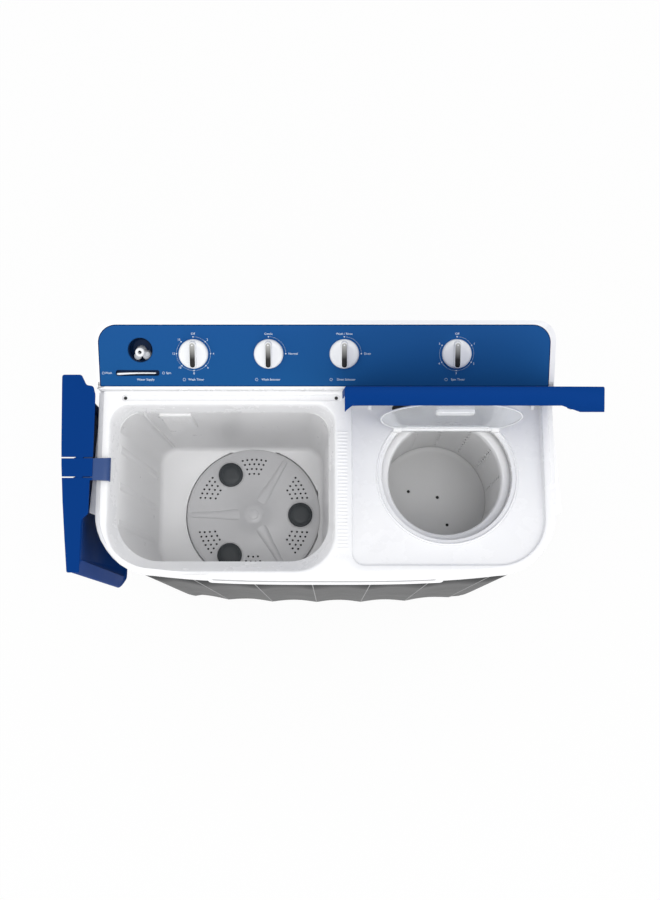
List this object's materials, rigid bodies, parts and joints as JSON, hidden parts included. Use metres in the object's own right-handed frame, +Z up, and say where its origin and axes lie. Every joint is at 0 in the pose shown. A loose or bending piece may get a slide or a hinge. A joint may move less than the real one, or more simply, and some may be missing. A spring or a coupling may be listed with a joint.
{
  "type": "twin tub washer",
  "caption": "Top-loading twin tub washer: wash tub with a pulsator, spin basket with a clear inner cover, sloping console with dials, both blue lids open.",
  "frame": {"origin": "on the floor under the middle of the whole object's box, with the wash lid hung at the left and the spin lid standing", "axes": "+X to the machine's right, +Y to its back, +Z up"},
  "size_m": [1.028, 0.517, 1.3201],
  "materials": {
    "cabinet_grey": "satin moulded",
    "frame_white": "gloss moulded",
    "panel_blue": "gloss printed",
    "lid_blue": "gloss moulded",
    "tub_grey": "satin moulded",
    "cap_dark": "satin moulded",
    "knob_white": "gloss moulded",
    "lever_bright": "bright moulded",
    "cover_clear": "clear polished",
    "inner_white": "moulded",
    "steel": "turned or pressed",
    "motor_metal": "painted",
    "pulley_dark": "moulded",
    "rubber_black": "matte",
    "base_black": "matte moulded"
  },
  "bodies": {
    "cabinet": {"body_shell": "cabinet_grey", "back_service_cover": "cabinet_grey", "top_frame": "frame_white", "console_housing": "frame_white", "control_panel": "panel_blue", "water_inlet_box": "panel_blue", "wash_lid_bracket": "lid_blue", "wash_tub": "tub_grey", "overflow_filter_cover": "tub_grey", "spin_outer_tub": "tub_grey", "wash_selector_switch": "cap_dark", "water_inlet_nozzle": "knob_white", "wash_timer": "inner_white", "spin_timer": "inner_white", "drain_valve_body": "inner_white", "spin_motor_plate": "steel", "wash_motor_bracket": "steel", "wash_lid_pin": "steel", "wash_motor": "motor_metal", "spin_motor": "motor_metal", "bearing_housing": "motor_metal", "capacitor": "motor_metal", "drive_belt": "rubber_black", "spin_bellows": "rubber_black", "spin_damper_1": "rubber_black", "spin_damper_2": "rubber_black", "spin_damper_3": "rubber_black", "wash_drain_hose": "rubber_black", "spin_drain_hose": "rubber_black", "drain_pipe": "rubber_black", "cord_gland": "rubber_black", "foot_front_left": "rubber_black", "foot_front_right": "rubber_black", "foot_back_left": "rubber_black", "foot_back_right": "rubber_black", "base_tray": "base_black"},
    "wash_rotor": {"pulsator": "tub_grey", "pulsator_cap_1": "cap_dark", "pulsator_cap_2": "cap_dark", "pulsator_cap_3": "cap_dark", "pulsator_shaft": "steel", "pulsator_pulley": "pulley_dark"},
    "wash_motor_rotor": {"wash_motor_shaft": "steel", "motor_pulley": "pulley_dark"},
    "spin_rotor": {"spin_basket": "tub_grey", "spin_shaft": "steel", "brake_drum": "steel"},
    "brake_lever": {"brake_lever": "steel"},
    "wash_lid": {"wash_lid": "lid_blue"},
    "spin_lid": {"spin_lid": "lid_blue", "spin_lid_pin_left": "steel", "spin_lid_pin_right": "steel"},
    "spin_inner_cover": {"spin_inner_cover": "cover_clear"},
    "wash_timer_knob": {"wash_timer_knob": "knob_white"},
    "wash_selector_knob": {"wash_selector_knob": "knob_white"},
    "drain_selector_knob": {"drain_selector_knob": "knob_white", "drain_cam": "cap_dark"},
    "spin_timer_knob": {"spin_timer_knob": "knob_white"},
    "water_selector_lever": {"water_selector_lever": "lever_bright"},
    "drain_valve_stem": {"drain_valve_stem": "tub_grey"}
  },
  "joints": [
    {"name": "pulsator_spin", "type": "hinge", "parent": "cabinet", "child": "wash_rotor", "pos_m": [-0.148, -0.0675, 0.48], "axis": [0, 0, 1], "continuous": true},
    {"name": "wash_motor_spin", "type": "hinge", "parent": "cabinet", "child": "wash_motor_rotor", "pos_m": [-0.317, 0.0695, 0.36], "axis": [0, 0, 1], "continuous": true},
    {"name": "basket_spin", "type": "hinge", "parent": "cabinet", "child": "spin_rotor", "pos_m": [0.277, -0.0385, 0.5], "axis": [0, 0, 1], "continuous": true},
    {"name": "brake_lever_swing", "type": "hinge", "parent": "cabinet", "child": "brake_lever", "pos_m": [0.346, 0.0415, 0.312], "axis": [0, 0, 1], "range_deg": [0, 7.75]},
    {"name": "wash_lid_hinge", "type": "hinge", "parent": "cabinet", "child": "wash_lid", "pos_m": [-0.479, -0.0305, 0.932], "axis": [0, 1, 0], "range_deg": [0, 270]},
    {"name": "spin_lid_hinge", "type": "hinge", "parent": "cabinet", "child": "spin_lid", "pos_m": [0.277, 0.1255, 0.942], "axis": [1, 0, 0], "range_deg": [0, 77.5]},
    {"name": "inner_cover_hinge", "type": "hinge", "parent": "cabinet", "child": "spin_inner_cover", "pos_m": [0.277, 0.0565, 0.916], "axis": [1, 0, 0], "range_deg": [0, 90]},
    {"name": "wash_timer_turn", "type": "hinge", "parent": "cabinet", "child": "wash_timer_knob", "pos_m": [-0.24, 0.1995, 0.97828], "axis": [0, -0.4123, 0.911], "range_deg": [-315, 0]},
    {"name": "wash_selector_turn", "type": "hinge", "parent": "cabinet", "child": "wash_selector_knob", "pos_m": [-0.0875, 0.1995, 0.97828], "axis": [0, -0.4123, 0.911], "range_deg": [-90, 0]},
    {"name": "drain_selector_turn", "type": "hinge", "parent": "cabinet", "child": "drain_selector_knob", "pos_m": [0.066, 0.1995, 0.97828], "axis": [0, -0.4123, 0.911], "range_deg": [-90, 0]},
    {"name": "spin_timer_turn", "type": "hinge", "parent": "cabinet", "child": "spin_timer_knob", "pos_m": [0.294, 0.1995, 0.97828], "axis": [0, -0.4123, 0.911], "range_deg": [-300, 0]},
    {"name": "water_selector_rock", "type": "hinge", "parent": "cabinet", "child": "water_selector_lever", "pos_m": [-0.355, 0.16466, 0.95922], "axis": [0, 0.911, 0.4123], "range_deg": [-12, 0]},
    {"name": "drain_valve_lift", "type": "slide", "parent": "cabinet", "child": "drain_valve_stem", "axis": [0, 0, 1], "range_m": [0, 0.012]}
  ],
  "couplings": [
    {"joint": "wash_motor_spin", "follows": "pulsator_spin", "ratio": 3.3333},
    {"joint": "inner_cover_hinge", "follows": "spin_lid_hinge", "ratio": 1.1613},
    {"joint": "brake_lever_swing", "follows": "spin_lid_hinge", "ratio": 0.1},
    {"joint": "drain_selector_turn", "follows": "drain_valve_lift", "rad_per_m": -130.9}
  ]
}
